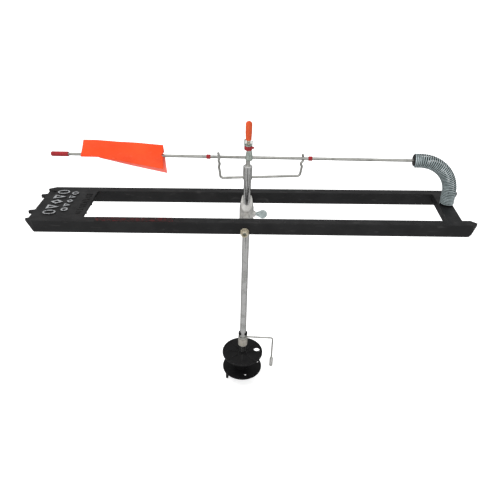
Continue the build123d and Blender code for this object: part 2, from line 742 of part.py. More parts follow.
def make_trip_grip():
    """The orange grip pushed over the clip's tang."""
    round_z = GRIP_TOP - GRIP_RADIUS
    low = round_z - GRIP_STRAIGHT
    grip = Pos(0, 0, GRIP_BOTTOM + FIT) * Cone(
        GRIP_RADIUS - GRIP_TAPER, GRIP_RADIUS, low - GRIP_BOTTOM, align=UP
    )
    grip += rod(GRIP_RADIUS, low, round_z)
    grip += Pos(0, 0, round_z) * Sphere(GRIP_RADIUS)
    half = TANG_HALF + FIT
    high = GRIP_BOTTOM + TANG_LENGTH + GAP
    return grip - block((-half, -half, GRIP_BOTTOM - 1), (half, half, high))


def make_drive_hub():
    """The round-nosed steel hub on the shaft just above the spool."""
    hub = turned(
        [
            (0, SPOOL_TOP + GAP),
            (DRIVE_HUB_RADIUS, SPOOL_TOP + GAP),
            (DRIVE_HUB_RADIUS, DRIVE_HUB_TOP),
            (0, DRIVE_HUB_TOP),
        ]
    )
    hub = fillet(hub.edges().sort_by(Axis.Z)[0], DRIVE_HUB_NOSE)
    hub = fillet(hub.edges().sort_by(Axis.Z)[-1], DRIVE_HUB_BREAK)
    return hub - rod(SHAFT_RADIUS + FIT, SPOOL_TOP - 1, DRIVE_HUB_TOP + 1)


def make_spool_washer():
    high = SPOOL_BOTTOM - GAP
    disc = rod(SPOOL_WASHER_RADIUS, high - WASHER_THICKNESS, high)
    return disc - rod(SHAFT_RADIUS + FIT, SPOOL_BOTTOM - 2, SPOOL_BOTTOM + 1)


def make_spool_nut():
    """The lock nut that keeps the spool on the shaft."""
    top = SPOOL_BOTTOM - GAP - WASHER_THICKNESS
    step = top - SPOOL_NUT_HEX
    low = step - SPOOL_NUT_COLLAR
    flat = Pos(0, 0, step) * RegularPolygon(NUT_FLATS / 2, 6, major_radius=False)
    nut = extrude(flat, amount=SPOOL_NUT_HEX, dir=(0, 0, 1))
    nut += rod(NUT_FLATS / 2 - SPOOL_NUT_INSET, low, step)
    return nut - rod(SHAFT_RADIUS + FIT, low - 1, top + 1)


# ---------------------------------------------------------------- spool pieces


def make_spool():
    """The line spool: two flanges on an arbor, ribbed on top and drilled."""
    web = FLANGE_THICKNESS
    rim = FLANGE_RADIUS - FLANGE_BREAK
    top_rim = TOP_FLANGE_RADIUS - FLANGE_BREAK
    body = turned(
        [
            (0, SPOOL_BOTTOM),
            (rim, SPOOL_BOTTOM),
            (FLANGE_RADIUS, SPOOL_BOTTOM + FLANGE_BREAK),
            (FLANGE_RADIUS, SPOOL_BOTTOM + web),
            (ARBOR_RADIUS, SPOOL_BOTTOM + web + FLANGE_DISH),
            (ARBOR_RADIUS, SPOOL_TOP - web - FLANGE_DISH),
            (TOP_FLANGE_RADIUS, SPOOL_TOP - web),
            (TOP_FLANGE_RADIUS, SPOOL_TOP - FLANGE_BREAK),
            (top_rim, SPOOL_TOP),
            (0, SPOOL_TOP),
        ]
    )
    floor = SPOOL_TOP - RIB_DEPTH
    field = rod(TOP_FLANGE_RADIUS - RIM_WIDTH, floor, SPOOL_TOP + 1)
    field -= rod(HUB_PAD_RADIUS, floor - 1, SPOOL_TOP + 2)
    for n in range(RIB_COUNT):
        low = (HUB_PAD_RADIUS - 1, -RIB_WIDTH / 2, floor - 1)
        bar = block(low, (FLANGE_RADIUS, RIB_WIDTH / 2, SPOOL_TOP + 2))
        field -= Rot(0, 0, 360 / RIB_COUNT * n) * bar
    body -= field
    hole = extrude(Ellipse(*FLANGE_HOLE), amount=4 * web)
    body -= Pos(*FLANGE_HOLE_PLACE, SPOOL_TOP - 2 * web) * hole
    for x, y in LINE_HOLES:
        body -= rod(LINE_HOLE_RADIUS, SPOOL_BOTTOM - 1, SPOOL_BOTTOM + 2 * web, x, y)
    hole_top = SPOOL_BOTTOM + PEG_SPIGOT + GAP
    peg_hole = rod(PEG_SPIGOT_RADIUS, SPOOL_BOTTOM - 1, hole_top, PEG_PLACE)
    body -= Rot(0, 0, PEG_ANGLE) * peg_hole
    return body - rod(SHAFT_RADIUS + RUNNING, SPOOL_BOTTOM - 1, SPOOL_TOP + 1)


def make_crank_peg():
    """The winding peg under the lower flange, held by a short spigot."""
    peg = rod(PEG_RADIUS, SPOOL_BOTTOM - PEG_LENGTH, SPOOL_BOTTOM)
    peg = fillet(peg.edges().sort_by(Axis.Z)[0], PEG_ROUND)
    peg += rod(PEG_SPIGOT_RADIUS - FIT, SPOOL_BOTTOM, SPOOL_BOTTOM + PEG_SPIGOT)
    return Rot(0, 0, PEG_ANGLE) * Pos(PEG_PLACE, 0, 0) * peg


# ---------------------------------------------------------------- staff pieces


def make_staff_plug():
    """The plug in the spring's free end that grips the staff."""
    radius = SPRING_RADIUS - SPRING_WIRE - GAP
    bore_end = STAFF_INSET - PLUG_LENGTH - GAP
    return rod_x(radius, -PLUG_LENGTH, 0) - rod_x(STAFF_RADIUS + FIT, bore_end, 1)


def make_flag_staff():
    """The steel rod, standing in the plug."""
    end = STAFF_LENGTH + TIP_LENGTH - TIP_WALL - STAFF_TIP_GAP
    return rod_x(STAFF_RADIUS, STAFF_INSET - PLUG_LENGTH, end)


def make_staff_tip():
    """The dipped end cap on the staff."""
    cap = rod_x(TIP_RADIUS, STAFF_LENGTH, STAFF_LENGTH + TIP_LENGTH)
    cap = fillet(cap.edges().group_by(Axis.X)[-1], TIP_ROUND)
    bore_end = STAFF_LENGTH + TIP_LENGTH - TIP_WALL
    return cap - rod_x(STAFF_RADIUS + FIT, STAFF_LENGTH - 1, bore_end)


def make_staff_collars():
    """The two red collars either side of the bail's arms."""
    collars = []
    for place in COLLAR_PLACES:
        near, far = place - COLLAR_LENGTH / 2, place + COLLAR_LENGTH / 2
        ring = fillet(rod_x(COLLAR_RADIUS, near, far).edges(), COLLAR_ROUND)
        collars.append(ring - rod_x(STAFF_RADIUS + FIT, near - 1, far + 1))
    return Compound(children=collars)


def make_flag():
    """The flag as a plain slab round the staff, with a bore for it."""
    outline = Polyline(*[(x, 0, z) for x, z in FLAG_OUTLINE], close=True)
    slab = extrude(make_face(outline), amount=FLAG_THICKNESS / 2, dir=(0, 1, 0), both=True)
    stations = [x for x, z in FLAG_OUTLINE]
    return slab - rod_x(FLAG_BORE, min(stations) - 1, max(stations) + 1)


# ---------------------------------------------------------------- export

os.makedirs("parts", exist_ok=True)

save("ladder_frame", make_frame())
save("ruler_marks", make_ruler_marks())
save("rail_strip", make_rail_strip())
save("plate_relief", make_plate_relief())
save("pivot_spacers", make_pivot_spacers())
save("flag_spring", make_spring())
save("spring_anchor", make_spring_anchor())
save("anchor_screw", make_anchor_screw())

save("pivot_block", on_column(make_pivot_block()))
save("pivot_studs", make_pivot_studs())
save("pivot_washers", make_pivot_washers())
save("pivot_nuts", make_pivot_nuts())
save("thumb_screw", on_column(make_thumb_screw()))

save("support_tube", on_column(make_support_tube()))
save("upper_bushing", on_column(make_bushing(TUBE_TOP - BUSHING_LENGTH)))
save("lower_bushing", on_column(make_bushing(TUBE_BOTTOM)))
save("retaining_ring", on_column(make_retaining_ring()))
save("seal_sleeve", on_column(make_seal_sleeve()))
save("line_guide", on_column(make_line_guide()))

save("trip_shaft", on_column(make_trip_shaft()))
save("trip_hub", on_column(make_trip_hub()))
save("trigger_bail", on_column(make_trigger_bail()))
save("trip_head", on_column(make_trip_head()))
save("trip_band", on_column(make_trip_band()))
save("grip_clip", on_column(make_grip_clip()))
save("grip_rivet", on_column(make_grip_rivet()))
save("trip_grip", on_column(make_trip_grip()))
save("drive_hub", on_column(make_drive_hub()))
save("spool_washer", on_column(make_spool_washer()))
save("spool_nut", on_column(make_spool_nut()))

save("line_spool", on_column(make_spool()))
save("crank_peg", on_column(make_crank_peg()))

save("staff_plug", on_staff(make_staff_plug()))
save("flag_staff", on_staff(make_flag_staff()))
save("staff_tip", on_staff(make_staff_tip()))
save("staff_collars", on_staff(make_staff_collars()))
save("flag", on_staff(make_flag()))
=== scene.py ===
from math import cos, pi, radians, sin

import bpy
from mathutils import Matrix, Vector
from mathutils import noise as field


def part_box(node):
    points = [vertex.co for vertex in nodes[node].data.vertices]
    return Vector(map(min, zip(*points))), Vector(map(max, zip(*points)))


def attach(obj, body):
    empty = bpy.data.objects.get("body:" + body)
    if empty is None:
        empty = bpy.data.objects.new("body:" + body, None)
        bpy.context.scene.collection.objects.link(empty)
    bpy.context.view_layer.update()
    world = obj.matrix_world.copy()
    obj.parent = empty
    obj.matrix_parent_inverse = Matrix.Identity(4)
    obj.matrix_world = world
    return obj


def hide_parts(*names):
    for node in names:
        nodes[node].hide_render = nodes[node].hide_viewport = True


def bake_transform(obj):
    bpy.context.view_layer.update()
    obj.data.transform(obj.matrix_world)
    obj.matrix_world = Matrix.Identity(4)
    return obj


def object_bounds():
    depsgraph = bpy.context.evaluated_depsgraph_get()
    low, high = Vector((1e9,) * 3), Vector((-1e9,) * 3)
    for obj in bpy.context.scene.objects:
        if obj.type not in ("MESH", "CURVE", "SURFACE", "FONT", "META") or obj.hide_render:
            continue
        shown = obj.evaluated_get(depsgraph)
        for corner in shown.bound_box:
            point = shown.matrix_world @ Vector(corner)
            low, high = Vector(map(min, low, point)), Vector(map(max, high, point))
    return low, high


# Ice fishing tip-up. The CAD frame gives every part its place; this script adds the
# finishes, the wound flag spring, the folded flag, the printed scale, the light and
# the camera. Named lengths are in millimetres and named angles in degrees, except where
# a comment says metres.

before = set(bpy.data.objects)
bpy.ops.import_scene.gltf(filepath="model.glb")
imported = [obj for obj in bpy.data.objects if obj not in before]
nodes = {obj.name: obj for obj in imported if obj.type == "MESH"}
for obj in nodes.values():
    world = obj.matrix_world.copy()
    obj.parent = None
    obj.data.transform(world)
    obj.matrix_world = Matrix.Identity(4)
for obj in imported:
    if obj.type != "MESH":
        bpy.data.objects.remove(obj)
cad_box = [list(corner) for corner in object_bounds()]

MM = 0.001

# ---- camera ----
CAMERA_PLACE = (22.2, -475.4, 264.9)
CAMERA_PITCH = 32.89
CAMERA_TURN = 2.58
CAMERA_ROLL = -0.61
CAMERA_LENS = 37.37
CAMERA_SENSOR = 36.0
CAMERA_CLIP = 0.01  # metres

# ---- flag spring ----
WIRE_RADIUS = 0.8
SPRING_BEND = 35.0
SPRING_FOOT = 12.5
SPRING_END = 6.5
STAFF_RISE = 0.75
COIL_PITCH = 1.64
PITCH_RAMP = 8.0
COIL_STEPS = 28
WIRE_SIDES = 10

# ---- flag: (share of its length, place along the staff, drop below it) ----
FLAG_FOLD = (
    (0.0, 246.5, -11.2), (0.34, 273.4, -13.3), (0.56, 290.9, -13.9), (0.83, 311.7, -15.3),
    (1.0, 325.1, -15.3),
)
FLAG_FRONT = ((0.0, 248.2, 13.9), (0.39, 280.5, 8.4), (0.79, 313.1, 1.8), (1.0, 330.5, 2.0))
FLAG_BACK = (
    (0.0, 244.9, 19.0), (0.27, 267.5, 14.3), (0.80, 312.0, 4.1), (0.84, 315.0, 1.9),
    (1.0, 330.3, 2.1),
)
FLAG_THICKNESS = 0.3
STAFF_CLEARANCE = 0.35
FOLD_ROUNDING = 3.0
WRAP_REACH = 9.0
LAYER_GAP = 0.45
LAYER_SPREAD = 0.5
SPREAD_START = 2.0
SPREAD_RUN = 16.0
NOTCH_DEPTH = 2.0
NOTCH_DOWN = -1.6
NOTCH_HALF = 1.5
NOTCH_FADE = 24
RIPPLE_ALONG = 20
RIPPLE_DOWN = 26
RIPPLE_SHIFT = 3.0
RIPPLE_DEPTH = 0.8

# ---- light: the world's strength by direction, and two area lights ----
WORLD_HEIGHTS = (-0.3, 0.45)
WORLD_DEPTHS = (-0.6, 0.5)
WORLD_BELOW = 0.50
WORLD_ABOVE = 0.85
WORLD_FRONT = 1.0
WORLD_BEHIND = 0.55
# name, place and size in metres, power in watts
LIGHTS = (
    ("key", (-0.5, -0.2, 1.3), (1.0, 0.7), 12),
    ("rim", (0.7, 0.9, 0.9), (0.8, 0.8), 5),
)

# ---- stage, in metres: the card is seen only in reflections ----
FLOOR_DROP = 0.002
FLOOR_LOW = (-4, -4)
FLOOR_HIGH = (4, 4)
FLOOR_GLOW = 0.66
CARD_RISE = 0.004
CARD_LOW = (-0.12, -0.66)
CARD_HIGH = (0.14, -0.33)

# ---- printed scale ----
INCH = 25.4
EIGHTH_LENGTH = 1.7
QUARTER_LENGTH = 2.5
TICK_WIDTH = 0.35
TICK_HEIGHT = 0.2
TICK_TAPER = 0.6
TICK_SINK = 0.05
TICK_INSET = 0.08
SCALE_INSET = 0.25
DIGIT_SIZE = 3.4
DIGIT_BEVEL = 0.04
DIGIT_SHIFT = (2.4, -7.6, 0.02)

# ---- shader nodes ----
MIX_A, MIX_B, MIX_RESULT = 6, 7, 2  # colour sockets of the Mix node
BEVEL_SAMPLES = 4
OPEN_FACE = 0.995  # soft normal against true normal, on a face and on an edge
ON_EDGE = 0.86


# ---------------------------------------------------------------- materials


class Finish:
    """A procedural material on object coordinates, built up one effect at a time."""

    def __init__(self, name, colour, roughness, metallic=0.0):
        self.material = bpy.data.materials.new(name)
        self.material.use_nodes = True
        self.tree = self.material.node_tree
        self.shader = self.tree.nodes["Principled BSDF"]
        self.shader.inputs["Base Color"].default_value = (*colour, 1)
        self.shader.inputs["Roughness"].default_value = roughness
        self.shader.inputs["Metallic"].default_value = metallic
        self.place = self.add("ShaderNodeTexCoord").outputs["Object"]
        self.normal = None

    def add(self, kind, **settings):
        node = self.tree.nodes.new(kind)
        for key, value in settings.items():
            setattr(node, key, value)
        return node

    def feed(self, socket, value):
        """Give a socket a link, a colour or a number."""
        if isinstance(value, bpy.types.NodeSocket):
            self.tree.links.new(value, socket)
        elif isinstance(value, tuple) and len(value) == 3 and len(socket.default_value) == 4:
            socket.default_value = (*value, 1)
        else:
            socket.default_value = value

    def constant(self, **values):
        """Set plain numbers on the shader's own sockets."""
        for key, value in values.items():
            self.shader.inputs[key.replace("_", " ")].default_value = value
        return self

    def stretched(self, stretch):
        node = self.add("ShaderNodeMapping")
        self.feed(node.inputs["Vector"], self.place)
        node.inputs["Scale"].default_value = stretch
        return node.outputs["Vector"]

    def noise(self, size, detail=3.0, stretch=(1, 1, 1), twist=0.0):
        """Noise with features of about this size in millimetres."""
        node = self.add("ShaderNodeTexNoise")
        self.feed(node.inputs["Vector"], self.stretched(stretch))
        node.inputs["Scale"].default_value = 1 / (size * MM)
        node.inputs["Detail"].default_value = detail
        node.inputs["Distortion"].default_value = twist
        return node.outputs["Fac"]

    def cells(self, size, feature="F1", stretch=(1, 1, 1)):
        """Cell distance with cells of about this size in millimetres."""
        node = self.add("ShaderNodeTexVoronoi", feature=feature)
        self.feed(node.inputs["Vector"], self.stretched(stretch))
        node.inputs["Scale"].default_value = 1 / (size * MM)
        return node.outputs["Distance"]

    def span(self, value, low, high, to_low=0.0, to_high=1.0):
        """Map a value's range onto another, clamped."""
        node = self.add("ShaderNodeMapRange", interpolation_type="SMOOTHSTEP")
        self.feed(node.inputs["Value"], value)
        for key, number in (
            ("From Min", low), ("From Max", high), ("To Min", to_low), ("To Max", to_high)
        ):
            node.inputs[key].default_value = number
        return node.outputs["Result"]

    def times(self, a, b, operation="MULTIPLY"):
        node = self.add("ShaderNodeMath", operation=operation)
        self.feed(node.inputs[0], a)
        self.feed(node.inputs[1], b)
        return node.outputs["Value"]

    def blend(self, factor, a, b):
        """Mix two colours."""
        node = self.add("ShaderNodeMix", data_type="RGBA")
        self.feed(node.inputs["Factor"], factor)
        self.feed(node.inputs[MIX_A], a)
        self.feed(node.inputs[MIX_B], b)
        return node.outputs[MIX_RESULT]

    def painted(self, name):
        """A value stored on the mesh's points."""
        return self.add("ShaderNodeAttribute", attribute_name=name).outputs["Fac"]

    def facing(self, axis):
        """The surface normal's component along one axis."""
        split = self.add("ShaderNodeSeparateXYZ")
        self.feed(split.inputs["Vector"], self.add("ShaderNodeNewGeometry").outputs["Normal"])
        return split.outputs["XYZ".index(axis)]

    def rounded(self, radius):
        """Soften the shading of sharp edges by this radius in millimetres."""
        node = self.add("ShaderNodeBevel", samples=BEVEL_SAMPLES)
        node.inputs["Radius"].default_value = radius * MM
        self.normal = node.outputs["Normal"]
        return self

    def edges(self, radius):
        """A mask that is 1 on edges and corners and 0 on open faces."""
        soft = self.add("ShaderNodeBevel", samples=BEVEL_SAMPLES)
        soft.inputs["Radius"].default_value = radius * MM
        dot = self.add("ShaderNodeVectorMath", operation="DOT_PRODUCT")
        self.feed(dot.inputs[0], soft.outputs["Normal"])
        self.feed(dot.inputs[1], self.add("ShaderNodeNewGeometry").outputs["True Normal"])
        return self.span(dot.outputs["Value"], OPEN_FACE, ON_EDGE)

    def bump(self, height, depth):
        """Raise the surface by up to this depth in millimetres."""
        node = self.add("ShaderNodeBump")
        node.inputs["Distance"].default_value = depth * MM
        self.feed(node.inputs["Height"], height)
        if self.normal is not None:
            self.feed(node.inputs["Normal"], self.normal)
        self.normal = node.outputs["Normal"]
        return self

    def colour(self, value):
        self.feed(self.shader.inputs["Base Color"], value)
        return self

    def roughness(self, value):
        self.feed(self.shader.inputs["Roughness"], value)
        return self

    def done(self):
        if self.normal is not None:
            self.feed(self.shader.inputs["Normal"], self.normal)
        return self.material


def moulded(name, dark, light, worn, rough, edge=0.45, sheen=0.25):
    """Moulded plastic: fine texture, uneven sheen and paler worn edges."""
    finish = Finish(name, dark, rough[0]).rounded(edge).constant(Specular_IOR_Level=sheen)
    base = finish.blend(finish.span(finish.noise(26, 4), 0.35, 0.7), dark, light)
    scuffs = finish.span(finish.noise(3.2, 5, (0.25, 1, 1), 0.6), 0.60, 0.74, 0.0, 0.4)
    base = finish.blend(scuffs, base, worn)
    rubbed = finish.times(finish.edges(edge * 1.3), finish.span(finish.noise(4, 3), 0.4, 0.65))
    finish.colour(finish.blend(rubbed, base, worn))
    finish.roughness(finish.span(finish.noise(9, 5), 0.3, 0.7, *rough))
    return finish.bump(finish.noise(0.35, 2), 0.05).done()


def drawn(name, colour, tarnish, rough, stretch):
    """Drawn or turned metal: fine streaks along one axis and faint tarnish."""
    finish = Finish(name, colour, rough[0], metallic=1.0).rounded(0.25)
    lines = finish.noise(0.5, 3, stretch)
    stain = finish.span(finish.noise(9, 4), 0.46, 0.70, 0.0, 0.8)
    base = finish.blend(stain, colour, tarnish)
    finish.colour(finish.blend(finish.span(lines, 0.5, 0.75, 0.0, 0.5), base, tarnish))
    finish.roughness(finish.span(lines, 0.3, 0.7, *rough))
    return finish.bump(lines, 0.012).done()


def plated(name, colour, tarnish, rough, cell=1.6, pit=0.03, edge=0.3, metal=1.0):
    """Cast or plated metal: mottled tone, pits and brighter rubbed edges."""
    finish = Finish(name, colour, rough[0], metal).rounded(edge)
    mottle = finish.span(finish.noise(cell * 2.2, 5), 0.32, 0.68)
    base = finish.blend(mottle, tarnish, colour)
    bright = tuple(min(1.0, c * 1.2) for c in colour)
    finish.colour(finish.blend(finish.edges(edge), base, bright))
    finish.roughness(finish.span(finish.cells(cell), 0.1, 0.8, *rough))
    return finish.bump(finish.noise(cell * 0.4, 4), pit).done()


def soft_plastic(name, colour, shade, rough):
    """Dipped or flexible vinyl: slight mottling, soft sheen and a little scatter."""
    finish = Finish(name, colour, rough[0]).rounded(0.3)
    finish.colour(finish.blend(finish.span(finish.noise(5, 4), 0.35, 0.75), colour, shade))
    finish.roughness(finish.span(finish.noise(2.5, 4), 0.3, 0.7, *rough))
    finish.constant(Subsurface_Weight=0.1, Subsurface_Scale=MM, Specular_IOR_Level=0.35)
    return finish.bump(finish.noise(0.7, 3), 0.04).done()


def printed_strip():
    """A thin printed strip: dull red blocks rubbed through to the dark plastic."""
    finish = Finish("rail_strip_print", (0.035, 0.012, 0.013), 0.5)
    finish.constant(Specular_IOR_Level=0.25)
    blocks = finish.cells(4.2, "DISTANCE_TO_EDGE", (0.8, 0.6, 1))
    ink = finish.span(blocks, 0.04, 0.20)
    patch = finish.span(finish.noise(7, 4), 0.36, 0.60)
    red = finish.blend(patch, (0.060, 0.007, 0.009), (0.030, 0.008, 0.009))
    finish.colour(finish.blend(ink, (0.012, 0.008, 0.008), red))
    finish.roughness(finish.span(finish.noise(2, 3), 0.3, 0.7, 0.38, 0.6))
    return finish.bump(ink, 0.04).done()


def relief_print():
    """Raised marks: pale printed tops on dark moulded sides."""
    finish = Finish("plate_relief_print", (0.02, 0.02, 0.02), 0.5).rounded(0.25)
    finish.constant(Specular_IOR_Level=0.25)
    top = finish.span(finish.facing("Z"), 0.75, 0.95)
    worn = finish.span(finish.noise(2.2, 4), 0.30, 0.50)
    pale = finish.blend(finish.noise(6, 3), (0.24, 0.25, 0.26), (0.42, 0.43, 0.44))
    finish.colour(finish.blend(finish.times(top, worn), (0.014, 0.014, 0.015), pale))
    finish.roughness(finish.span(finish.noise(3, 4), 0.3, 0.7, 0.4, 0.62))
    return finish.bump(finish.noise(0.35, 2), 0.04).done()


def seal_resin():
    """The cloudy, slightly amber resin of the grease seal."""
    finish = Finish("seal_amber_resin", (0.72, 0.70, 0.62), 0.2)
    cloud = finish.noise(3.5, 4)
    tone = finish.span(cloud, 0.3, 0.7)
    finish.colour(finish.blend(tone, (0.64, 0.62, 0.58), (0.54, 0.51, 0.45)))
    finish.roughness(finish.span(cloud, 0.3, 0.7, 0.03, 0.10))
    finish.constant(Transmission_Weight=0.6, IOR=1.04, Specular_IOR_Level=0.4)
    return finish.bump(finish.noise(2.4, 2), 0.008).done()


def spring_zinc():
    """Blue-grey zinc plating with milky patches: the wire's outer crests keep the plating
    colour, while painted shade darkens its inner side, in the grooves between the coils, to
    near black.
    """
    finish = Finish("zinc_spring_wire", (0.42, 0.48, 0.50), 0.4, 0.85)
    patch = finish.span(finish.noise(7, 5), 0.38, 0.66)
    base = finish.blend(patch, (0.44, 0.52, 0.53), (0.66, 0.76, 0.78))
    grime = finish.span(finish.noise(1.4, 4), 0.52, 0.76, 0.0, 0.5)
    base = finish.blend(grime, base, (0.16, 0.18, 0.18))
    # Painted shade: the mask falls from the wire's outer crest to its inner side, and the
    # colour falls with it to near black in the grooves between coils.
    groove_shade_mask = finish.span(finish.painted("groove_shade_mask"), 0.62, 0.97)
    finish.colour(finish.blend(groove_shade_mask, (0.035, 0.042, 0.042), base))
    finish.roughness(finish.span(finish.noise(2.4, 4), 0.3, 0.7, 0.26, 0.48))
    return finish.bump(finish.noise(0.5, 3), 0.03).done()


def flag_vinyl(name, bright, faded, glow):
    """Fluorescent vinyl sheet: woven backing, soft creases and a painted glow, an emission in
    the sheet's own colour.
    """
    finish = Finish(name, bright, 0.5)
    base = finish.blend(finish.span(finish.noise(24, 4), 0.35, 0.7), bright, faded)
    scuff = finish.span(finish.noise(3, 5, (0.4, 1, 1)), 0.62, 0.74, 0.0, 0.3)
    paler = tuple(min(1.0, c + 0.07) for c in bright)
    finish.colour(finish.blend(scuff, base, paler))
    finish.roughness(finish.span(finish.noise(5, 4), 0.3, 0.7, 0.42, 0.62))
    # Painted glow: the sheet emits light in its own colour, though it is no lamp, so it looks
    # brighter.
    finish.shader.inputs["Emission Color"].default_value = (*bright, 1)
    finish.constant(Emission_Strength=glow, Specular_IOR_Level=0.25)
    finish.bump(finish.noise(14, 3, (1, 1, 2.2), 0.8), 0.8)
    weave = finish.times(
        finish.noise(0.5, 1, (1, 1, 0.2)), finish.noise(0.5, 1, (0.2, 1, 1)), "ADD"
    )
    return finish.bump(weave, 0.03).done()


ALONG_X = (0.04, 1, 1)
ALONG_Z = (1, 1, 0.04)

FINISHES = {
    "frame_plastic": moulded(
        "frame_plastic_moulded", (0.0105, 0.0105, 0.011), (0.016, 0.016, 0.0165),
        (0.060, 0.059, 0.058), (0.38, 0.58), sheen=0.22
    ),
    "mark_grey": moulded(
        "mark_grey_moulded", (0.022, 0.022, 0.023), (0.036, 0.036, 0.037),
        (0.08, 0.08, 0.08), (0.45, 0.62), edge=0.1
    ),
    "strip_red": printed_strip(),
    "relief_light": relief_print(),
    "black_plastic": moulded(
        "black_plastic_moulded", (0.005, 0.005, 0.0054), (0.009, 0.009, 0.0094),
        (0.06, 0.06, 0.06), (0.32, 0.5), edge=0.4, sheen=0.18
    ),
    "zinc_spring": spring_zinc(),
    "dark_plastic": moulded(
        "dark_plastic_moulded", (0.008, 0.008, 0.008), (0.012, 0.012, 0.012),
        (0.04, 0.04, 0.04), (0.34, 0.5), edge=0.3
    ),
    "cast_zinc": plated(
        "cast_zinc_rough", (0.80, 0.79, 0.76), (0.56, 0.55, 0.52), (0.30, 0.52), 3.0, 0.04,
        0.6, 0.8
    ),
    "plain_steel": plated(
        "plain_steel_bright", (0.50, 0.575, 0.57), (0.36, 0.42, 0.415), (0.34, 0.52), metal=0.25
    ),
    "brass_plate": plated(
        "brass_plate_yellow", (0.74, 0.68, 0.54), (0.50, 0.44, 0.33), (0.24, 0.42), 1.2, 0.02,
        metal=0.6
    ),
    "tube_steel": drawn(
        "tube_steel_drawn", (0.84, 0.84, 0.83), (0.60, 0.60, 0.58), (0.14, 0.28), ALONG_Z
    ),
    "nylon": soft_plastic("nylon_bush", (0.66, 0.64, 0.58), (0.56, 0.54, 0.47), (0.35, 0.5)),
    "black_rubber": moulded(
        "black_rubber_soft", (0.006, 0.006, 0.006), (0.010, 0.010, 0.010),
        (0.03, 0.03, 0.03), (0.40, 0.62), edge=0.3
    ),
    "seal_amber": seal_resin(),
    "wire_steel": drawn(
        "wire_steel_drawn", (0.66, 0.66, 0.62), (0.40, 0.40, 0.37), (0.28, 0.44), ALONG_X
    ),
    "clip_zinc": plated(
        "clip_zinc_green", (0.62, 0.68, 0.63), (0.36, 0.41, 0.37), (0.28, 0.46), metal=0.85
    ),
    "band_red": soft_plastic(
        "band_red_vinyl", (0.34, 0.016, 0.022), (0.24, 0.010, 0.014), (0.25, 0.45)
    ),
    "grip_orange": soft_plastic(
        "grip_orange_vinyl", (0.66, 0.088, 0.016), (0.56, 0.066, 0.012), (0.3, 0.48)
    ),
    "flag_orange": flag_vinyl(
        "flag_orange_vinyl", (0.88, 0.082, 0.018), (0.80, 0.058, 0.010), 0.18
    ),
    # Painted highlight: the inner face of the folded flag gets a paler pink than the outer
    # face, standing in for light on the hem; it also carries the painted glow.
    "flag_inside": flag_vinyl(
        "flag_inside_vinyl_painted_highlight", (0.84, 0.17, 0.13), (0.74, 0.13, 0.10), 0.14
    ),
}


# ---------------------------------------------------------------- mesh helpers


def placed(name, data):
    """A new object in the scene."""
    obj = bpy.data.objects.new(name, data)
    bpy.context.scene.collection.objects.link(obj)
    return obj


def mesh_object(name, points, faces, finish, smooth=True):
    mesh = bpy.data.meshes.new(name)
    mesh.from_pydata(points, [], faces)
    mesh.update()
    if smooth:
        mesh.shade_smooth()
    else:
        mesh.shade_flat()
    mesh.materials.append(FINISHES[finish])
    obj = placed(name, mesh)
    return obj


def skin(rings, closed=True):
    """Points and faces of a skin over rings; closed rings also get their two ends."""
    count = len(rings[0])
    points = [tuple(p) for ring in rings for p in ring]
    last = count if closed else count - 1
    faces = []
    for i in range(len(rings) - 1):
        for j in range(last):
            k = (j + 1) % count
            here, ahead = i * count, (i + 1) * count
            faces.append((here + j, here + k, ahead + k, ahead + j))
    if closed:
        faces.append(tuple(range(count))[::-1])
        end = (len(rings) - 1) * count
        faces.append(tuple(range(end, end + count)))
    return points, faces


# ---------------------------------------------------------------- flag spring

spring_low, spring_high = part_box("flag_spring")
FLAG_Y = (spring_low.y + spring_high.y) / 2 / MM
COIL_RADIUS = (spring_high.y - spring_low.y) / 2 / MM - WIRE_RADIUS
BASE_X = spring_high.x / MM - COIL_RADIUS - WIRE_RADIUS
BASE_Z = spring_low.z / MM
BEND_ANGLE = radians(90 - STAFF_RISE)
BEND_LENGTH = SPRING_BEND * BEND_ANGLE
SPRING_LENGTH = SPRING_FOOT + BEND_LENGTH + SPRING_END


def spring_line(s):
    """Point and tangent of the spring's centre line at a distance from its foot."""
    foot = Vector((BASE_X, FLAG_Y, BASE_Z))
    if s < SPRING_FOOT:
        return foot + Vector((0, 0, s)), Vector((0, 0, 1))
    centre = foot + Vector((-SPRING_BEND, 0, SPRING_FOOT))
    turn = min((s - SPRING_FOOT) / SPRING_BEND, BEND_ANGLE)
    tangent = Vector((-sin(turn), 0, cos(turn)))
    point = centre + SPRING_BEND * Vector((cos(turn), 0, sin(turn)))
    return point + tangent * max(0.0, s - SPRING_FOOT - BEND_LENGTH), tangent


def coil_rings():
    """Rings of the wound wire: coils closed inside the bend and open outside it."""
    bend_pitch = COIL_PITCH * SPRING_BEND / (SPRING_BEND - COIL_RADIUS)
    rings = []
    s = WIRE_RADIUS
    angle = 0.0
    across = Vector((0, 1, 0))
    while s <= SPRING_LENGTH - WIRE_RADIUS:
        point, tangent = spring_line(s)
        outward = tangent.cross(across)
        radial = outward * cos(angle) + across * sin(angle)
        around = across * cos(angle) - outward * sin(angle)
        inset = min(s - SPRING_FOOT, SPRING_FOOT + BEND_LENGTH - s) / PITCH_RAMP
        pitch = COIL_PITCH + (bend_pitch - COIL_PITCH) * min(1.0, max(0.0, inset + 0.5))
        run = (around * 2 * pi * COIL_RADIUS + tangent * pitch).normalized()
        side = run.cross(radial)
        centre = point + radial * COIL_RADIUS
        rings.append(
            [
                (centre + (radial * cos(a) + side * sin(a)) * WIRE_RADIUS) * MM
                for a in (2 * pi * n / WIRE_SIDES for n in range(WIRE_SIDES))
            ]
        )
        s += pitch / COIL_STEPS
        angle += 2 * pi / COIL_STEPS
    return rings


spring = mesh_object("flag_spring_coil", *skin(coil_rings()), "zinc_spring")
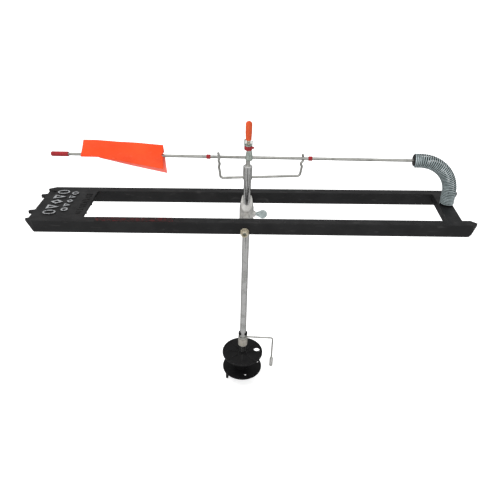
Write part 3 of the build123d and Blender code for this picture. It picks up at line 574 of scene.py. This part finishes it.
# Painted shade mask on the coil: 1 on the wire's outer side, 0 on its inner side; the spring's
# finish darkens the wire where the mask is low.
groove_shade_mask = spring.data.attributes.new("groove_shade_mask", "FLOAT", "POINT")
for index in range(len(spring.data.vertices)):
    groove_shade_mask.data[index].value = 0.5 + 0.5 * cos(2 * pi * (index % WIRE_SIDES) / WIRE_SIDES)
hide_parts("flag_spring")
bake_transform(spring)


# ---------------------------------------------------------------- flag

STAFF_START = spring_line(SPRING_LENGTH)[0]
STAFF_RUN = Vector((-cos(radians(STAFF_RISE)), 0, sin(radians(STAFF_RISE))))
STAFF_DOWN = Vector((-sin(radians(STAFF_RISE)), 0, -cos(radians(STAFF_RISE))))
staff_low, staff_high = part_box("flag_staff")
STAFF_RADIUS = (staff_high.y - staff_low.y) / 2 / MM


def on_staff(x, y, z):
    """A point given along the staff, across it and down from it."""
    return (STAFF_START + STAFF_RUN * x + STAFF_DOWN * z + Vector((0, y, 0))) * MM


def edge_at(table, share):
    """A point of one of the flag's edges, as (along, down)."""
    for (s0, x0, z0), (s1, x1, z1) in zip(table, table[1:]):
        if share <= s1:
            part = (share - s0) / (s1 - s0)
            return Vector((x0 + (x1 - x0) * part, z0 + (z1 - z0) * part))
    return Vector(table[-1][1:])


def stand_off(down, top, side):
    """How far a layer stands off the flag's middle plane at one height."""
    rise = min(1.0, max(0.0, down - top) / FOLD_ROUNDING) ** 0.5
    wrap = STAFF_RADIUS + STAFF_CLEARANCE + FLAG_THICKNESS / 2
    near = max(0.0, 1 - abs(down) / WRAP_REACH)
    flat = LAYER_GAP + LAYER_SPREAD * max(0.0, (down - SPREAD_START) / SPREAD_RUN)
    return side * rise * (flat + (wrap - flat) * near * near * (3 - 2 * near))


def flag_rings():
    """Columns of the folded sheet, from the front layer's edge over the fold to the back."""
    columns = 84
    rows = 28
    rings = []
    for i in range(columns + 1):
        share = i / columns
        fold = edge_at(FLAG_FOLD, share)
        ring = []
        for side, edge in ((-1, FLAG_FRONT), (1, FLAG_BACK)):
            layer = []
            for j in range(rows + 1):
                fall = j / rows
                along, down = fold.lerp(edge_at(edge, share), fall)
                notch = NOTCH_DEPTH * max(0.0, 1 - abs(down - NOTCH_DOWN) / NOTCH_HALF)
                notch *= max(0.0, 1 - share * NOTCH_FADE)
                flow = field.noise(
                    Vector((along / RIPPLE_ALONG, down / RIPPLE_DOWN, side * RIPPLE_SHIFT))
                )
                across = stand_off(down, fold.y, side) + RIPPLE_DEPTH * flow * fall
                layer.append(on_staff(along + notch, across, down))
            ring += layer[::-1] if side < 0 else layer[1:]
        rings.append(ring)
    return rings


flag = mesh_object("flag_sheet", *skin(flag_rings(), closed=False), "flag_orange")
flag.data.materials.append(FINISHES["flag_inside"])
thick = flag.modifiers.new("thickness", "SOLIDIFY")
thick.thickness = FLAG_THICKNESS * MM
thick.offset = 0
thick.material_offset = 1
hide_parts("flag")
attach(flag, "flag_arm")


# ---------------------------------------------------------------- printed scale

marks_low, marks_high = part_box("ruler_marks")
SCALE_START = (marks_low.x / MM + SCALE_INSET, marks_high.y / MM, marks_low.z / MM)
INCHES = round((marks_high.x - marks_low.x) / MM / INCH)


def tick(x, back, low, length):
    """Points of one small raised bar with sloping sides."""
    half = TICK_WIDTH / 2
    top = half * TICK_TAPER
    rows = ((half, 0, low - TICK_SINK), (top, TICK_INSET, low + TICK_HEIGHT))
    return [
        Vector((x + a * width, back - (inset if b else length - inset), z)) * MM
        for width, inset, z in rows
        for a, b in ((-1, 1), (1, 1), (1, 0), (-1, 0))
    ]


def scale_mesh():
    """Ticks at the eighths and quarters of each inch."""
    points, faces = [], []
    start_x, back, low = SCALE_START
    for step in range(8 * INCHES + 1):
        if step % 4 == 0:
            continue
        length = QUARTER_LENGTH if step % 2 == 0 else EIGHTH_LENGTH
        base = len(points)
        points += tick(start_x + step * INCH / 8, back, low, length)
        for a, b in ((0, 1), (1, 2), (2, 3), (3, 0)):
            faces.append((base + b, base + a, base + a + 4, base + b + 4))
        faces.append(tuple(base + n for n in (7, 6, 5, 4)))
    return points, faces


ticks = mesh_object("scale_ticks", *scale_mesh(), "mark_grey", smooth=False)
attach(ticks, "frame")


def numeral(value):
    """One raised numeral beside its inch mark, as a mesh."""
    text = bpy.data.curves.new(f"numeral_{value}_text", "FONT")
    text.body = str(value)
    text.size = DIGIT_SIZE * MM
    text.align_x = "CENTER"
    text.extrude = TICK_HEIGHT * MM
    text.bevel_depth = DIGIT_BEVEL * MM
    text.bevel_resolution = 1
    text.space_character = 1.05
    letter = bpy.data.objects.new("numeral_text", text)
    mesh = bpy.data.meshes.new_from_object(letter)
    bpy.data.objects.remove(letter)
    start_x, back, low = SCALE_START
    right, toward, up = DIGIT_SHIFT
    place = Vector((start_x + value * INCH + right, back + toward, low + up)) * MM
    mesh.transform(Matrix.Translation(place))
    mesh.materials.clear()
    mesh.materials.append(FINISHES["mark_grey"])
    obj = placed(f"numeral_{value}", mesh)
    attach(obj, "frame")


for inch in range(1, INCHES):
    numeral(inch)


# ---------------------------------------------------------------- finishes on the CAD parts

for node in nodes.values():
    for place in node.material_slots:
        place.material = FINISHES[place.material.name.split(".")[0]]


# ---------------------------------------------------------------- stage, light, camera


def plain_material(name, colour, glow):
    material = bpy.data.materials.new(name)
    material.use_nodes = True
    shader = material.node_tree.nodes["Principled BSDF"]
    shader.inputs["Base Color"].default_value = (*colour, 1)
    shader.inputs["Roughness"].default_value = 0.9
    shader.inputs["Specular IOR Level"].default_value = 0.1
    shader.inputs["Emission Color"].default_value = (1, 1, 1, 1)
    shader.inputs["Emission Strength"].default_value = glow
    return material


def stage_sheet(name, low, high, z, material):
    """A level rectangle from its low corner to its high one."""
    corners = [(low[0], low[1], z), (high[0], low[1], z), (*high, z), (low[0], high[1], z)]
    mesh = bpy.data.meshes.new(name)
    mesh.from_pydata(corners, [], [(0, 1, 2, 3)])
    mesh.materials.append(material)
    obj = placed(name, mesh)
    return obj


floor_z = cad_box[0][2] - FLOOR_DROP
floor_white = plain_material("floor_white", (0.80, 0.80, 0.80), FLOOR_GLOW)
floor = stage_sheet("floor", FLOOR_LOW, FLOOR_HIGH, floor_z, floor_white)
floor.visible_glossy = False
card_dark = plain_material("card_dark", (0.02, 0.02, 0.02), 0.0)
card = stage_sheet("dark_card", CARD_LOW, CARD_HIGH, floor_z + CARD_RISE, card_dark)
card.visible_camera = False
card.visible_diffuse = False
card.visible_shadow = False
card.visible_transmission = False


def world_ramp(tree, direction, ends, strengths):
    """Map one component of the world's direction onto a range of strengths."""
    node = tree.nodes.new("ShaderNodeMapRange")
    keys = ("From Min", "From Max", "To Min", "To Max")
    for key, number in zip(keys, (*ends, *strengths)):
        node.inputs[key].default_value = number
    tree.links.new(direction, node.inputs["Value"])
    return node.outputs["Result"]


def studio_world():
    """Soft light from above and in front, falling to grey below and behind."""
    world = bpy.data.worlds.new("studio")
    world.use_nodes = True
    tree = world.node_tree
    place = tree.nodes.new("ShaderNodeTexCoord")
    split = tree.nodes.new("ShaderNodeSeparateXYZ")
    tree.links.new(place.outputs["Generated"], split.inputs["Vector"])
    heights = world_ramp(tree, split.outputs["Z"], WORLD_HEIGHTS, (WORLD_BELOW, WORLD_ABOVE))
    depths = world_ramp(tree, split.outputs["Y"], WORLD_DEPTHS, (WORLD_FRONT, WORLD_BEHIND))
    total = tree.nodes.new("ShaderNodeMath")
    total.operation = "MULTIPLY"
    tree.links.new(heights, total.inputs[0])
    tree.links.new(depths, total.inputs[1])
    tree.links.new(total.outputs["Value"], tree.nodes["Background"].inputs["Strength"])
    tree.nodes["Background"].inputs["Color"].default_value = (1, 1, 1, 1)
    return world


bpy.context.scene.world = studio_world()


def soft_light(name, place, size, power):
    """An area light aimed at the origin, unseen in reflections."""
    light = bpy.data.lights.new(name, "AREA")
    light.shape = "RECTANGLE"
    light.size, light.size_y = size
    light.energy = power
    obj = placed(name, light)
    obj.location = place
    obj.rotation_euler = (-Vector(place)).to_track_quat("-Z", "Y").to_euler()
    obj.visible_glossy = False


for settings in LIGHTS:
    soft_light(*settings)

camera_data = bpy.data.cameras.new("camera")
camera_data.lens = CAMERA_LENS
camera_data.sensor_width = CAMERA_SENSOR
camera_data.clip_start = CAMERA_CLIP
camera = bpy.data.objects.new("camera", camera_data)
camera.matrix_world = (
    Matrix.Translation(Vector(CAMERA_PLACE) * MM)
    @ Matrix.Rotation(radians(CAMERA_TURN), 4, "Z")
    @ Matrix.Rotation(radians(90 - CAMERA_PITCH), 4, "X")
    @ Matrix.Rotation(radians(CAMERA_ROLL), 4, "Z")
)
bpy.context.scene.collection.objects.link(camera)
bpy.context.scene.camera = camera
bpy.context.scene.view_settings.view_transform = "Standard"
